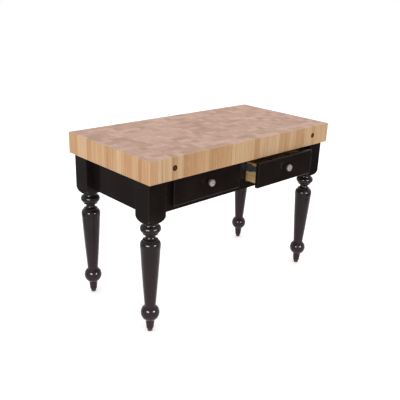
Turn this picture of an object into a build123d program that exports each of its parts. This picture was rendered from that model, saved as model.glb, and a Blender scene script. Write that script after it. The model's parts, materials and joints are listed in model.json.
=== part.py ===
from build123d import *

import os
from math import sqrt

# Butcher block table: an end-grain maple block on a painted base with turned legs and two drawers
# on ball-bearing slides. Millimetres, +Z up. The origin is on the floor under the middle of the
# worktop, +X runs along the long side and the drawers face -Y. The right drawer stands a little
# open, which is the rest pose; the left one is shut.

# ---------------------------------------------------------------- driving dimensions
# Worktop block
top_length = 1219.2
top_width = 609.6
top_thickness = 101.6
top_edge_radius = 2.5
table_height = 838.2

# Tie rods that clamp the block from front to back, under turned plugs
tie_rod_radius = 4.76
tie_rod_end_distance = 134.0  # end of the block to the rod's axis
tie_rod_lift = 1.5  # above the middle of the block
tie_rod_stickout = 3.0
washer_radius = 12.0
washer_thickness = 2.4
nut_across_flats = 14.3
nut_height = 8.0
plug_radius = 12.7
plug_length = 10.0
plug_crown = 0.6  # how far the plug's domed face stands proud of the block
plug_chamfer = 1.0

# Legs
post_width = 94.0
post_inset_x = 15.3  # end of the block to the post's face
post_inset_y = 23.3  # front or back of the block to the post's face
post_tail = 10.5  # square part below the apron, down to the turned shoulder
post_edge_radius = 1.6
glide_radius = 12.5
glide_height = 9.0
glide_nail_radius = 1.5
glide_nail_length = 24.0

# Aprons and face frame, all centred in the posts
apron_height = 165.1
apron_thickness = 19.05
bottom_rail_height = 32.4
top_rail_thickness = 19.05
top_rail_depth = 50.0
end_stile_width = 68.4
centre_stile_width = 76.2
tenon_thickness = 9.5
tenon_depth = 30.0
tenon_shoulder = 12.0
rail_shoulder = 6.0
tongue_thickness = 6.35
tongue_depth = 6.35
stile_tenon_depth = 9.5
joint_clearance = 0.15  # all round a tenon or a tongue

# Slide boards, cleats and their fastenings
board_thickness = 19.05
cleat_size = 30.0
cleat_end_gap = 1.0
lag_shank_radius = 3.1
lag_length = 57.0
lag_head_radius = 6.3
lag_head_height = 4.3
lag_washer_radius = 9.0
lag_washer_thickness = 1.6
lag_slot_travel = 7.0
wood_screw_radius = 2.1
wood_screw_head = 4.2
wood_screw_length = 41.0
screw_clearance = 0.12  # radial, round every screw, nail and rod

# Drawers
front_thickness = 19.05
front_overlay_x = 11.1
front_overlay_z = 6.35
front_edge_radius = 2.5
box_board = 12.7
box_clear_below = 5.4
box_clear_above = 12.5
box_back_clearance = 66.0  # shut drawer's back to the back apron
bottom_thickness = 6.35
bottom_lift = 9.5  # box's lower edge to the bottom panel
groove_depth = 6.0
groove_clearance = 0.2
tail_count = 3
tail_slope = 3.0  # how much wider a tail is at its end, each side
bumper_radius = 4.0
bumper_thickness = 1.6
front_screw_length = 25.4
front_screw_inset_x = 45.0
front_screw_inset_z = 16.0
right_drawer_open = 70.0

# Knobs
knob_radius = 17.0
knob_projection = 32.5
knob_crown = 4.0
knob_base_radius = 9.5
knob_neck_radius = 6.0
knob_lift = 8.0  # above the middle of the drawer front
knob_screw_radius = 2.0
knob_thread_depth = 12.0

# Ball-bearing slides, three members deep
slide_gap = 12.7  # between the slide board and the drawer's side
slide_below_rim = 25.0  # drawer side's upper edge to the slide's centre line
slide_setback = 3.0  # face of the frame to the front end of the slide
slide_rear_margin = 3.4
slide_sheet = 1.2
cabinet_member_height = 45.6
middle_member_height = 34.0
drawer_member_height = 24.0
cabinet_flange = 10.4
middle_web_at = 3.2  # slide board to the middle member's web
middle_flange_end = 9.8
drawer_flange_start = 5.8
ball_clearance = 0.2
cage_sheet = 0.8
cage_half_width = 3.0
ball_pitch = 34.0
slide_screw_head = 3.6
slide_screw_head_height = 1.5
slide_screw_radius = 1.7
slide_screw_length = 14.0
slide_screw_end = 45.0  # end of a slide member to its nearest screw

# ---------------------------------------------------------------- worked-out places
underside = table_height - top_thickness
post_x_out = top_length / 2 - post_inset_x
post_y_out = top_width / 2 - post_inset_y
post_x_in = post_x_out - post_width
post_y_in = post_y_out - post_width
post_x = post_x_out - post_width / 2
post_y = post_y_out - post_width / 2
apron_bottom = underside - apron_height
square_bottom = apron_bottom - post_tail
half_apron = apron_thickness / 2

frame_face = -(post_y + half_apron)  # front of the face frame, seen from the drawers' side
frame_back = -(post_y - half_apron)
back_apron_front = post_y - half_apron
opening_low = apron_bottom + bottom_rail_height
opening_high = underside - top_rail_thickness
opening_x_in = centre_stile_width / 2
opening_x_out = post_x_in - end_stile_width

front_back_face = frame_face - bumper_thickness  # back of a shut drawer front
front_x_in = opening_x_in - front_overlay_x
front_x_out = opening_x_out + front_overlay_x
front_low = opening_low - front_overlay_z
front_high = opening_high + front_overlay_z
box_x_in = opening_x_in + slide_gap
box_x_out = opening_x_out - slide_gap
box_low = opening_low + box_clear_below
box_high = opening_high - box_clear_above
box_length = back_apron_front - front_back_face - box_back_clearance
bottom_low = box_low + bottom_lift

slide_z = box_high - slide_below_rim
slide_start = frame_face + slide_setback
slide_end = front_back_face + box_length - slide_rear_margin
slide_length = slide_end - slide_start
cage_length = slide_length / 2
cage_offset = slide_length / 4

knob_x = (front_x_in + front_x_out) / 2
knob_z = (front_low + front_high) / 2 + knob_lift
tie_rod_x = top_length / 2 - tie_rod_end_distance
tie_rod_z = underside + top_thickness / 2 + tie_rod_lift

SIDES = {"left": -1, "right": 1}
OPEN_AT_REST = {"left": 0.0, "right": right_drawer_open}
TURN = {
    "+X": Rot(0, 90, 0),
    "-X": Rot(0, -90, 0),
    "+Y": Rot(-90, 0, 0),
    "-Y": Rot(90, 0, 0),
    "+Z": Rot(0, 0, 0),
    "-Z": Rot(180, 0, 0),
}
nodes = {}


# ---------------------------------------------------------------- helpers
def block(x0, x1, y0, y1, z0, z1):
    """A box between six planes, given in either order."""
    centre = Pos((x0 + x1) / 2, (y0 + y1) / 2, (z0 + z1) / 2)
    return centre * Box(abs(x1 - x0), abs(y1 - y0), abs(z1 - z0))


def grown_block(clearance, x0, x1, y0, y1, z0, z1):
    """The same box grown by a clearance on every side: the pocket that it fits."""
    low_x, high_x = sorted((x0, x1))
    low_y, high_y = sorted((y0, y1))
    low_z, high_z = sorted((z0, z1))
    return block(
        low_x - clearance, high_x + clearance, low_y - clearance, high_y + clearance,
        low_z - clearance, high_z + clearance,
    )


def turned(outline):
    """Revolve a closed outline drawn in the XZ plane about Z."""
    return revolve(make_face(outline), Axis.Z)


def dome(radius, crown, top):
    """An arc from a rim to a crown on the Z axis, centred on the axis so that it turns to a sphere."""
    sphere = (radius**2 + crown**2) / (2 * crown)
    middle = sqrt(sphere**2 - (radius / 2) ** 2) - sphere + top
    return ThreePointArc((radius, 0, top - crown), (radius / 2, 0, middle), (0, 0, top))


def rod(radius, length, place, way):
    """A cylinder that starts at a place and runs one way."""
    return Pos(*place) * TURN[way] * Pos(0, 0, length / 2) * Cylinder(radius, length)


def screw(head_radius, head_height, shank_radius, length, place, way, sunk=False, grow=0.0):
    """A screw whose head seats at a place and whose shank runs one way.

    With sunk, the head is a cone below the surface; otherwise it stands on it. grow gives the
    hole that the screw fits, its radius larger by that much.
    """
    r = shank_radius + grow
    tip = length + (1.0 if grow else 0.0)
    point = min(2.5 * shank_radius, length / 3)
    if sunk:
        head = [(0, 0), (head_radius + grow, 0), (r, head_radius - shank_radius)]
    else:
        head = [(0, -head_height), (0.7 * head_radius, -head_height), (head_radius, -0.4 * head_height)]
        head += [(head_radius, 0), (r, 0)]
        if grow:
            head = [(0, 0), (r, 0)]
    points = [Vector(x, 0, z) for x, z in head + [(r, tip - point), (0, tip)]]
    return Pos(*place) * TURN[way] * turned(Polyline(points, close=True))


def cut_all(piece, tools):
    """Cut each tool from a piece."""
    for tool in tools:
        piece = piece - tool
    return piece


def keep(name, *pieces):
    """File one node: a single solid, or a group of separate ones."""
    solids = [solid for piece in pieces for solid in piece.solids()]
    nodes[name] = solids[0] if len(solids) == 1 else Compound(children=solids)


# ---------------------------------------------------------------- screws that several pieces share
def lag_places():
    """Where the lag screws pass up through the front rail and the cleats, and what they hold."""
    side_x = post_x - half_apron - cleat_size / 2
    back_y = back_apron_front - cleat_size / 2
    front_y = frame_face + top_rail_depth * 0.6
    places = []
    for s in (-1, 1):
        places.append(("front", s * knob_x, front_y, underside - top_rail_thickness))
        places.append(("back", s * knob_x, back_y, underside - cleat_size))
        for t in (-1, 1):
            places.append(("side", s * side_x, t * post_y_in * 0.6, underside - cleat_size))
    return places


def lag_holes(which):
    """Slots for the lag screws, long across the block so that it can move with the seasons."""
    holes = []
    radius = lag_shank_radius + 0.8
    for kind, x, y, z in lag_places():
        if kind == which:
            reach = lag_slot_travel / 2
            slot = block(x - radius, x + radius, y - reach, y + reach, z, underside)
            for end in (-1, 1):
                slot += rod(radius, underside - z, (x, y + end * reach, z), "+Z")
            holes.append(slot)
    return holes


def lag(place, grow=0.0):
    """One lag screw, its head on a washer under the place."""
    x, y, z = place
    seat = (x, y, z - lag_washer_thickness)
    return screw(lag_head_radius, lag_head_height, lag_shank_radius, lag_length, seat, "+Z", grow=grow)


def cleat_screws(grow=0.0):
    """Wood screws from the cleats into the aprons behind them."""
    made = []
    z = underside - cleat_size / 2
    side_x = post_x - half_apron - cleat_size
    back_y = back_apron_front - cleat_size
    for s, way in ((-1, "-X"), (1, "+X")):
        for y in (-post_y_in * 0.3, post_y_in * 0.3):
            made.append(wood_screw((s * side_x, y, z), way, grow))
    for x in (-knob_x * 0.6, knob_x * 0.6):
        made.append(wood_screw((x, back_y, z), "+Y", grow))
    return made


def wood_screw(place, way, grow):
    return screw(wood_screw_head, 0, wood_screw_radius, wood_screw_length, place, way, sunk=True, grow=grow)


# ---------------------------------------------------------------- worktop
def worktop():
    """The block, its two tie rods with washers and nuts, and the plugs that hide them."""
    top = block(-top_length / 2, top_length / 2, -top_width / 2, top_width / 2, underside, table_height)
    top = fillet(top.edges(), top_edge_radius)
    pocket = plug_length + tie_rod_stickout + nut_height + washer_thickness
    seat_y = top_width / 2 - pocket
    rods, nuts, washers, plugs = [], [], [], []
    for s in (-1, 1):
        x = s * tie_rod_x
        length = 2 * (seat_y + washer_thickness + nut_height + tie_rod_stickout)
        rods.append(rod(tie_rod_radius, length, (x, -length / 2, tie_rod_z), "+Y"))
        top -= rod(tie_rod_radius + screw_clearance, top_width, (x, -top_width / 2, tie_rod_z), "+Y")
        for e, out, inward in ((-1, "-Y", "+Y"), (1, "+Y", "-Y")):
            face = (x, e * top_width / 2, tie_rod_z)
            seat = (x, e * seat_y, tie_rod_z)
            top -= rod(plug_radius + screw_clearance, pocket, face, inward)
            bore = rod(tie_rod_radius + screw_clearance, pocket, seat, out)
            washers.append(rod(washer_radius, washer_thickness, seat, out) - bore)
            on_washer = (x, e * (seat_y + washer_thickness), tie_rod_z)
            flats = extrude(RegularPolygon(nut_across_flats / 2, 6, major_radius=False), nut_height)
            nuts.append(Pos(*on_washer) * TURN[out] * flats - bore)
            plugs.append(Pos(*face) * TURN[out] * plug())
    keep("butcher_block", top)
    keep("tie_rods", *rods)
    keep("tie_rod_nuts", *nuts)
    keep("tie_rod_washers", *washers)
    keep("walnut_plugs", *plugs)
    lag_threads = [lag(place[1:], screw_clearance) for place in lag_places()]
    nodes["butcher_block"] = cut_all(nodes["butcher_block"], lag_threads)


def plug():
    """A plug with a chamfered edge and a low domed face; its axis is Z and the block's face is at 0."""
    edge = plug_radius - plug_chamfer
    outline = Polyline((0, 0, -plug_length), (plug_radius, 0, -plug_length),
                       (plug_radius, 0, -plug_chamfer), (edge, 0, 0))
    close = Line((0, 0, plug_crown), (0, 0, -plug_length))
    return turned([outline, dome(edge, plug_crown, plug_crown), close])


# ---------------------------------------------------------------- legs
def leg_outline():
    """The turned outline from the block down to the foot, as (kind, points) runs of (radius, height).

    The beads hang below the square post and the foot stands on the floor at fixed heights; the
    long taper between them takes up any change of leg length.
    """
    s = square_bottom
    corner = post_width / sqrt(2) + 1.0
    return [
        ("line", (0, underside), (corner, underside), (corner, s + 20)),
        ("arc", (corner - 6, s + 1), (37, s - 14)),  # shoulder, cut round from the square
        ("arc", (33.5, s - 22), (35.8, s - 29.5)),  # cove above the bead
        ("arc", (46.2, s - 47), (36.2, s - 64)),  # large bead
        ("line", (34.5, s - 65.5), (34.5, s - 71)),
        ("arc", (26, s - 74), (21.5, s - 81)),  # cove to the neck
        ("arc", (24, s - 90), (31.5, s - 96)),
        ("line", (33.5, s - 97), (33.5, s - 102)),  # fillet above the vase
        ("line", (35.5, s - 103),),
        ("arc", (43.6, s - 112), (45.7, s - 122)),  # shoulder of the vase
        ("arc", (45.8, s - 132), (44.5, s - 142)),
        ("arc", (36.2, (s - 2) / 2), (25.8, 138)),  # long taper, a little full in the middle
        ("line", (26.6, 136.5), (26.6, 131)),
        ("arc", (43.2, 96), (21.5, 60)),  # ball foot
        ("line", (21.2, 58), (17.4, 18), (15.5, 14.5), (13.2, 11.5)),
        ("line", (13.2, glide_height), (0, glide_height)),
    ]


def outline_edges(runs):
    """Turn runs of lines and three-point arcs into edges, each from where the last one ended."""
    edges = []
    here = None
    for run in runs:
        kind, points = run[0], [Vector(r, 0, z) for r, z in run[1:]]
        if kind == "arc":
            edges.append(ThreePointArc(here, points[0], points[1]))
        else:
            for point in points:
                if here is not None:
                    edges.append(Line(here, point))
                here = point
        here = points[-1]
    first = Vector(0, 0, underside)
    edges.append(Line(here, first))
    return edges


def legs():
    """Four posts turned below the aprons, mortised for the rails, each on a nail-in glide."""
    shape = turned(outline_edges(leg_outline()))
    square = Pos(0, 0, underside / 2) * Box(post_width, post_width, underside + 2)
    square = fillet(square.edges().filter_by(Axis.Z), post_edge_radius)
    nail_hole = rod(glide_nail_radius + screw_clearance, glide_nail_length + 1, (0, 0, 0), "+Z")
    blank = (shape & square) - nail_hole
    glides = []
    for side, s in SIDES.items():
        for end, t in (("front", -1), ("back", 1)):
            leg = cut_all(Pos(s * post_x, t * post_y, 0) * blank, mortises(s, t))
            keep(f"leg_{end}_{side}", leg)
            glides.append(Pos(s * post_x, t * post_y, 0) * glide())
    keep("foot_glides", *glides)


def glide():
    """A flat-soled glide, its edge rounded, with a nail up into the foot."""
    sole = glide_radius - 2
    outline = [
        Line((0, 0, 0), (sole, 0, 0)),
        ThreePointArc((sole, 0, 0), (glide_radius - 0.6, 0, 0.6), (glide_radius, 0, 2)),
        Polyline((glide_radius, 0, 2), (glide_radius, 0, glide_height),
                 (glide_nail_radius, 0, glide_height), (glide_nail_radius, 0, glide_nail_length - 3),
                 (0, 0, glide_nail_length), (0, 0, 0)),
    ]
    return turned(outline)


def side_tenon(s, t):
    """The tenon of a side apron in the post at (s, t), as the six planes of its box."""
    return (s * post_x - tenon_thickness / 2, s * post_x + tenon_thickness / 2, t * (post_y_in - 1),
            t * (post_y_in + tenon_depth), apron_bottom + tenon_shoulder, underside - tenon_shoulder)


def back_tenon(s):
    return (s * (post_x_in - 1), s * (post_x_in + tenon_depth), post_y - tenon_thickness / 2,
            post_y + tenon_thickness / 2, apron_bottom + tenon_shoulder, underside - tenon_shoulder)


def top_rail_tenon(s):
    middle = (opening_high + underside) / 2
    thick = min(tenon_thickness, top_rail_thickness / 2)
    return (s * (post_x_in - 1), s * (post_x_in + tenon_depth), frame_face + rail_shoulder,
            frame_face + top_rail_depth - rail_shoulder, middle - thick / 2, middle + thick / 2)


def bottom_rail_tenon(s):
    return (s * (post_x_in - 1), s * (post_x_in + tenon_depth), -post_y - tenon_thickness / 2,
            -post_y + tenon_thickness / 2, apron_bottom + rail_shoulder, opening_low - rail_shoulder)


def stile_tongue(s):
    return (s * (post_x_in - 1), s * (post_x_in + tongue_depth), -post_y - tongue_thickness / 2,
            -post_y + tongue_thickness / 2, opening_low, opening_high)


def mortises(s, t):
    """The pockets in the post at (s, t)."""
    tenons = [side_tenon(s, t)]
    if t > 0:
        tenons += [back_tenon(s)]
    else:
        tenons += [top_rail_tenon(s), bottom_rail_tenon(s), stile_tongue(s)]
    return [grown_block(joint_clearance, *tenon) for tenon in tenons]


# ---------------------------------------------------------------- aprons, face frame, boards, cleats
def board_tongue(x0, x1, end):
    """The tongue on a slide board's front (-1) or back (1) end, as the six planes of its box."""
    middle = (x0 + x1) / 2
    y = frame_back if end < 0 else back_apron_front
    return (middle - tongue_thickness / 2, middle + tongue_thickness / 2, y - end, y + end * tongue_depth,
            opening_low + rail_shoulder, underside - cleat_size - rail_shoulder)


def board_spans():
    """The four slide boards by name, each with the X of the face that the slide is screwed to."""
    spans = {}
    for side, s in SIDES.items():
        spans[f"slide_board_outer_{side}"] = (s * opening_x_out, s * (opening_x_out + board_thickness))
        spans[f"slide_board_inner_{side}"] = (s * opening_x_in, s * (opening_x_in - board_thickness))
    return spans


def board_grooves(end):
    return [grown_block(joint_clearance, *board_tongue(x0, x1, end)) for x0, x1 in board_spans().values()]


def aprons():
    """Side and back aprons with stub tenons in the posts."""
    driven = cleat_screws(screw_clearance)
    for side, s in SIDES.items():
        x = s * post_x
        apron = block(x - half_apron, x + half_apron, -post_y_in, post_y_in, apron_bottom, underside)
        apron += block(*side_tenon(s, -1)) + block(*side_tenon(s, 1))
        keep(f"side_apron_{side}", cut_all(apron, driven))
    back = block(-post_x_in, post_x_in, back_apron_front, post_y + half_apron, apron_bottom, underside)
    back += block(*back_tenon(-1)) + block(*back_tenon(1))
    keep("back_apron", cut_all(back, driven + board_grooves(1)))


def stile_stub(z, way):
    """The centre stile's stub tenon into the rail above (1) or below (-1)."""
    inset = 2 * rail_shoulder
    return (-centre_stile_width / 2 + inset, centre_stile_width / 2 - inset, -post_y - tongue_thickness / 2,
            -post_y + tongue_thickness / 2, z - way, z + way * stile_tenon_depth)


def face_frame():
    """The frame that the drawers shut against: two rails, two end stiles and a centre stile."""
    top = block(-post_x_in, post_x_in, frame_face, frame_face + top_rail_depth, opening_high, underside)
    top += block(*top_rail_tenon(-1)) + block(*top_rail_tenon(1))
    top -= grown_block(joint_clearance, *stile_stub(opening_high, 1))
    keep("front_top_rail", cut_all(top, lag_holes("front")))
    low = block(-post_x_in, post_x_in, frame_face, frame_back, apron_bottom, opening_low)
    low += block(*bottom_rail_tenon(-1)) + block(*bottom_rail_tenon(1))
    keep("front_bottom_rail", low - grown_block(joint_clearance, *stile_stub(opening_low, -1)))
    grooves = board_grooves(-1)
    for side, s in SIDES.items():
        stile = block(s * opening_x_out, s * post_x_in, frame_face, frame_back, opening_low, opening_high)
        keep(f"front_stile_{side}", cut_all(stile + block(*stile_tongue(s)), grooves))
    centre = block(-opening_x_in, opening_x_in, frame_face, frame_back, opening_low, opening_high)
    centre += block(*stile_stub(opening_high, 1)) + block(*stile_stub(opening_low, -1))
    keep("centre_stile", cut_all(centre, grooves))


def slide_boards():
    """Boards from the face frame to the back apron, which carry the slides."""
    holes = cabinet_screws(screw_clearance)
    for name, (x0, x1) in board_spans().items():
        board = block(x0, x1, frame_back, back_apron_front, opening_low, underside - cleat_size)
        board += block(*board_tongue(x0, x1, -1)) + block(*board_tongue(x0, x1, 1))
        keep(name, cut_all(board, holes))


def cleats():
    """Strips inside the aprons that the block is screwed down to, with their screws."""
    holes = cleat_screws(screw_clearance)
    z0 = underside - cleat_size
    reach = post_y_in - cleat_end_gap
    for side, s in SIDES.items():
        x = s * (post_x - half_apron)
        strip = block(x, x - s * cleat_size, -reach, reach, z0, underside)
        keep(f"top_cleat_{side}", cut_all(strip, holes + lag_holes("side")))
    reach = post_x_in - cleat_end_gap
    strip = block(-reach, reach, back_apron_front - cleat_size, back_apron_front, z0, underside)
    keep("top_cleat_back", cut_all(strip, holes + lag_holes("back")))
    keep("cleat_screws", *cleat_screws())
    keep("top_lag_screws", *[lag(place[1:]) for place in lag_places()])
    washers = []
    hole_radius = lag_shank_radius + screw_clearance
    for _, x, y, z in lag_places():
        disc = rod(lag_washer_radius, lag_washer_thickness, (x, y, z), "-Z")
        washers.append(disc - rod(hole_radius, lag_washer_thickness, (x, y, z), "-Z"))
    keep("top_lag_washers", *washers)


# ---------------------------------------------------------------- drawers
def tails(x0, x1, y0, y1, grow=0.0):
    """Dovetail wedges through a box side at one of its ends, wider towards y0, the joint's outside."""
    pitch = (box_high - box_low) / tail_count
    outward = Vector(1 if x1 > x0 else -1, 0, 0)
    wedges = []
    for i in range(tail_count):
        z = box_low + (i + 0.5) * pitch
        wide = pitch * 0.32 + tail_slope / 2 + grow
        narrow = pitch * 0.32 - tail_slope / 2 + grow
        corners = [(y0, z - wide), (y0, z + wide), (y1, z + narrow), (y1, z - narrow)]
        outline = Polyline([Vector(x0, y, height) for y, height in corners], close=True)
        wedges.append(extrude(make_face(outline), amount=abs(x1 - x0), dir=outward))
    return wedges


def drawer(side):
    """One drawer: an overlay front on a dovetailed box, with its knob, screws and bumpers."""
    s = SIDES[side]
    out = Pos(0, -OPEN_AT_REST[side], 0)
    y_front = front_back_face
    y_back = y_front + box_length
    x_in, x_out = s * box_x_in, s * box_x_out
    left, right = sorted((x_in, x_out))
    screws = front_screws(side)
    screw_holes = front_screws(side, screw_clearance) + [knob_screw(side, screw_clearance)]

    face = block(s * front_x_in, s * front_x_out, y_front - front_thickness, y_front, front_low, front_high)
    face = fillet(face.faces().sort_by(Axis.Y)[0].edges(), front_edge_radius)
    keep(f"drawer_front_{side}", out * cut_all(face, screw_holes))

    groove = (left + box_board - groove_depth, right - box_board + groove_depth,
              y_front + box_board - groove_depth, y_back - box_board + groove_depth,
              bottom_low, bottom_low + bottom_thickness)
    slot = grown_block(groove_clearance, *groove)
    keep(f"drawer_bottom_{side}", out * block(*groove))

    end_tails = []
    for x0, x1 in ((left, left + box_board), (right - box_board, right)):
        end_tails += tails(x0, x1, y_front, y_front + box_board)
        end_tails += tails(x0, x1, y_back, y_back - box_board)
    ends = {"box_front": (y_front, y_front + box_board), "back": (y_back - box_board, y_back)}
    for name, (y0, y1) in ends.items():
        board = block(left, right, y0, y1, box_low, box_high)
        keep(f"drawer_{name}_{side}", out * cut_all(board, end_tails + [slot] + screw_holes))
    sides = {"outer": (x_out, x_out - s * box_board), "inner": (x_in, x_in + s * box_board)}
    slide_threads = drawer_slide_screws(side, screw_clearance)
    for name, (x0, x1) in sides.items():
        board = block(x0, x1, y_front + box_board, y_back - box_board, box_low, box_high)
        for wedge in tails(min(x0, x1), max(x0, x1), y_front, y_front + box_board):
            board += wedge
        for wedge in tails(min(x0, x1), max(x0, x1), y_back, y_back - box_board):
            board += wedge
        keep(f"drawer_side_{name}_{side}", out * cut_all(board, [slot] + slide_threads))

    bumpers = []
    for x in (s * (front_x_in + front_overlay_x / 2), s * (front_x_out - front_overlay_x / 2)):
        for z in (front_low + front_screw_inset_z, front_high - front_screw_inset_z):
            bumpers.append(rod(bumper_radius, bumper_thickness - 0.1, (x, y_front, z), "+Y"))
    keep(f"drawer_bumpers_{side}", out * Compound(children=bumpers))
    keep(f"drawer_front_screws_{side}", out * Compound(children=screws))
    place = (s * knob_x, y_front - front_thickness, knob_z)
    keep(f"knob_{side}", out * (Pos(*place) * TURN["-Y"] * knob()))
    keep(f"knob_screw_{side}", out * knob_screw(side))


def front_screws(side, grow=0.0):
    """Four screws from inside the box into the back of the overlay front."""
    s = SIDES[side]
    made = []
    for x in (box_x_in + front_screw_inset_x, box_x_out - front_screw_inset_x):
        for z in (bottom_low + bottom_thickness + front_screw_inset_z, box_high - front_screw_inset_z):
            place = (s * x, front_back_face + box_board, z)
            made.append(
                screw(wood_screw_head, 2.4, wood_screw_radius, front_screw_length, place, "-Y", grow=grow)
            )
    return made


def knob_screw(side, grow=0.0):
    """The machine screw that holds the knob, from inside the box."""
    length = box_board + front_thickness + knob_thread_depth - 2
    place = (SIDES[side] * knob_x, front_back_face + box_board, knob_z)
    return screw(4.0, 2.6, knob_screw_radius, length, place, "-Y", grow=grow)


def knob():
    """A round knob on a short neck: its axis is Z, its base is at 0, and it has a blind thread."""
    rim = knob_projection * 0.58
    cap = knob_radius * 0.70
    cap_low = knob_projection - knob_crown
    foot = knob_base_radius
    outline = [
        Polyline((0, 0, 0), (foot, 0, 0), (foot, 0, 1.6), (foot - 1, 0, 2.4)),
        ThreePointArc((foot - 1, 0, 2.4), (knob_neck_radius, 0, 5.5), (knob_neck_radius + 1, 0, 8.5)),
        ThreePointArc((knob_neck_radius + 1, 0, 8.5), (knob_radius * 0.82, 0, 11.4), (knob_radius, 0, rim)),
        ThreePointArc((knob_radius, 0, rim), (knob_radius * 0.93, 0, (rim + cap_low) / 2 + 0.9),
                      (cap, 0, cap_low)),
        dome(cap, knob_crown, knob_projection),
        Line((0, 0, knob_projection), (0, 0, 0)),
    ]
    return turned(outline) - rod(knob_screw_radius + screw_clearance, knob_thread_depth, (0, 0, 0), "+Z")


# ---------------------------------------------------------------- slides
def slide_sites(side):
    """The two slides of a drawer: the X of the board's face, and which way the drawer lies from it."""
    s = SIDES[side]
    return ((s * opening_x_out, -s), (s * opening_x_in, s))


def strip(face, way, t0, t1, z0, z1, y0=slide_start, y1=slide_end):
    """A bar along a slide: t is measured from the board towards the drawer, z from the slide's middle."""
    return block(face + way * t0, face + way * t1, y0, y1, slide_z + z0, slide_z + z1)


def channel(face, way, web, flange, height):
    """A C-section: its web and flanges as (start, end) in t, and its height outside."""
    top = height / 2
    piece = strip(face, way, web[0], web[1], -top, top)
    for low, high in ((top - slide_sheet, top), (-top, slide_sheet - top)):
        piece += strip(face, way, flange[0], flange[1], low, high)
    return piece


def cabinet_member(face, way):
    piece = channel(face, way, (0, slide_sheet), (0, cabinet_flange), cabinet_member_height)
    top = cabinet_member_height / 2 - slide_sheet
    for low, high in ((top - 1.2, top), (-top, 1.2 - top)):
        piece += strip(face, way, cabinet_flange - slide_sheet, cabinet_flange, low, high)
    return piece


def cabinet_screws(grow=0.0):
    """Screws through the cabinet members into the slide boards."""
    made = []
    for side in SIDES:
        for face, way in slide_sites(side):
            for y in (slide_start + slide_screw_end, slide_end - slide_screw_end):
                place = (face + way * slide_sheet, y, slide_z)
                turn = "-X" if way > 0 else "+X"
                made.append(screw(slide_screw_head, slide_screw_head_height, slide_screw_radius,
                                  slide_screw_length, place, turn, grow=grow))
    return made


def drawer_slide_screws(side, grow=0.0):
    """Screws through the drawer members into the box sides, shut."""
    made = []
    for face, way in slide_sites(side):
        for y in (slide_start + slide_screw_end, slide_end - slide_screw_end):
            place = (face + way * (slide_gap - slide_sheet), y, slide_z)
            turn = "+X" if way > 0 else "-X"
            made.append(screw(slide_screw_head, slide_screw_head_height, slide_screw_radius,
                              box_board * 0.7, place, turn, grow=grow))
    return made


def cage(face, way, t, height, gap):
    """A sheet cage with its balls, above and below: height is the raceway's middle, gap its width."""
    ball = gap / 2 - ball_clearance
    y0 = slide_start + cage_offset
    count = int(cage_length // ball_pitch)
    margin = (cage_length - (count - 1) * ball_pitch) / 2
    pieces = []
    for z in (-height, height):
        sheet = strip(face, way, t - cage_half_width, t + cage_half_width, z - cage_sheet / 2,
                      z + cage_sheet / 2, y0, y0 + cage_length)
        for i in range(count):
            centre = Pos(face + way * t, y0 + margin + i * ball_pitch, slide_z + z)
            sheet -= centre * Sphere(ball + 0.1)
            pieces.append(centre * Sphere(ball))
        pieces.append(sheet)
    return pieces


def slides(side):
    """The moving members and ball cages of one drawer's two slides.

    The drawer member moves with the drawer, the middle one half as far, and each cage rolls
    half way between the two members that it runs between.
    """
    opened = OPEN_AT_REST[side]
    middle, drawn, outer_cages, inner_cages = [], [], [], []
    outer_gap = cabinet_member_height / 2 - slide_sheet - middle_member_height / 2
    inner_gap = middle_member_height / 2 - slide_sheet - drawer_member_height / 2
    outer_t = (middle_web_at + middle_flange_end) / 2
    inner_t = (drawer_flange_start + middle_flange_end) / 2
    for face, way in slide_sites(side):
        web = (middle_web_at, middle_web_at + slide_sheet)
        middle.append(channel(face, way, web, (middle_web_at, middle_flange_end), middle_member_height))
        web = (slide_gap - slide_sheet, slide_gap)
        drawn.append(channel(face, way, web, (drawer_flange_start, slide_gap), drawer_member_height))
        outer_cages += cage(face, way, outer_t, middle_member_height / 2 + outer_gap / 2, outer_gap)
        inner_cages += cage(face, way, inner_t, drawer_member_height / 2 + inner_gap / 2, inner_gap)
    drawn = [cut_all(piece, drawer_slide_screws(side, screw_clearance)) for piece in drawn]
    for name, pieces, share in (
        ("slide_middle_members", middle, 0.5),
        ("slide_drawer_members", drawn, 1.0),
        ("slide_outer_cages", outer_cages, 0.25),
        ("slide_inner_cages", inner_cages, 0.75),
        ("slide_drawer_screws", drawer_slide_screws(side), 1.0),
    ):
        keep(f"{name}_{side}", Pos(0, -opened * share, 0) * Compound(children=pieces))


def cabinet_members():
    holes = cabinet_screws(screw_clearance)
    members = [cabinet_member(*site) for side in SIDES for site in slide_sites(side)]
    keep("slide_cabinet_members", *[cut_all(member, holes) for member in members])
    keep("slide_cabinet_screws", *cabinet_screws())


# ---------------------------------------------------------------- build and write
worktop()
legs()
aprons()
face_frame()
slide_boards()
cleats()
cabinet_members()
for side in SIDES:
    drawer(side)
    slides(side)

os.makedirs("parts", exist_ok=True)
for name, shape in nodes.items():
    export_step(shape, f"parts/{name}.step")
travel = slide_length - 20.0
print(f"{len(nodes)} nodes; slide {slide_length:.1f}, travel {travel:.1f}, box {box_length:.1f} long")
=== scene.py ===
# %% [markdown]
# # A butcher block table
# A kitchen work table: a four-inch block of end-grain maple stands on a black painted base with
# turned legs and two drawers on ball-bearing slides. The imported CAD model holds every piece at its
# size and place. This lesson models again in Blender the pieces whose surface a hand or a lathe has
# shaped, and gives every piece its finish. Everything is in metres, in the frame of the CAD model.

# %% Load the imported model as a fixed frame
import json
import math

import bmesh
import bpy
from mathutils import Matrix, Vector

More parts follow.
